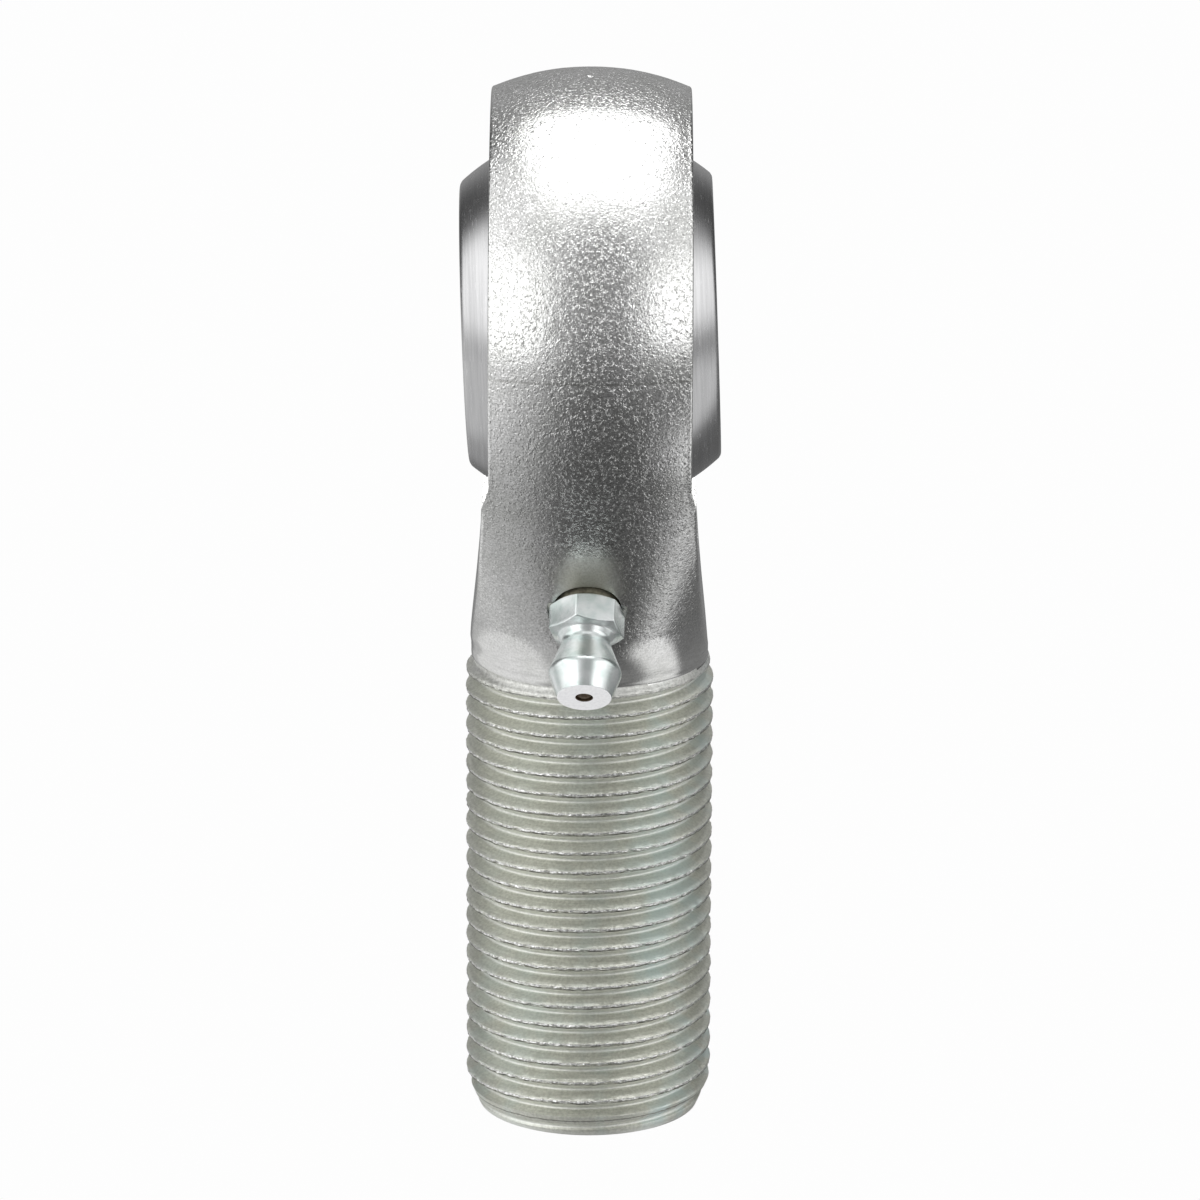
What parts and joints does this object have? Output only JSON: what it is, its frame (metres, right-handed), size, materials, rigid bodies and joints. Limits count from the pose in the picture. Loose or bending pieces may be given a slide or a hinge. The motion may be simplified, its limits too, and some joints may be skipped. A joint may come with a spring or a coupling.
{
  "type": "tie rod end",
  "caption": "Male spherical rod end with a forged eye, a tilting steel ball with a bolt bore, an external right-hand thread shank and a grease nipple at 45 degrees.",
  "frame": {"origin": "centre of the ball, on the bolt bore's axis", "axes": "+X along the eye, +Z out of the crown of the eye so the shank runs down -Z, -Y towards the grease nipple"},
  "size_m": [0.0232, 0.0446, 0.0956],
  "materials": {
    "zinc_forging": "shot-blasted forging under clear zinc plating, turned thread left smooth",
    "race_steel": "turned",
    "ball_steel": "ground and lightly polished",
    "bright_zinc": "bright zinc plate",
    "spring_steel": "drawn wire",
    "grease": "wet grease"
  },
  "bodies": {
    "rod": {"rod_body": "zinc_forging", "race_half_left": "race_steel", "race_half_right": "race_steel", "grease_charge": "grease", "grease_fitting_body": "bright_zinc", "check_spring": "spring_steel"},
    "swivel_link": {"grease_film_left": "grease"},
    "tilt_link": {"grease_film_right": "grease"},
    "ball": {"ball": "ball_steel"},
    "check_ball": {"check_ball": "ball_steel"}
  },
  "joints": [
    {"name": "ball_swivel", "type": "hinge", "parent": "rod", "child": "swivel_link", "pos_m": [0, 0, 0], "axis": [0, 0, 1], "range_deg": [-14, 14]},
    {"name": "ball_tilt", "type": "hinge", "parent": "swivel_link", "child": "tilt_link", "pos_m": [0, 0, 0], "axis": [0, 1, 0], "range_deg": [-11.8, 16.2]},
    {"name": "ball_spin", "type": "hinge", "parent": "tilt_link", "child": "ball", "pos_m": [0, 0, 0], "axis": [0.9993, 0, 0.0384], "continuous": true},
    {"name": "check_ball_lift", "type": "slide", "parent": "rod", "child": "check_ball", "axis": [0.027, 0.7068, 0.7068], "range_m": [0, 0.001], "stiffness_N_per_m": 500, "springref_m": -0.002, "deforming": ["check_spring"]}
  ]
}
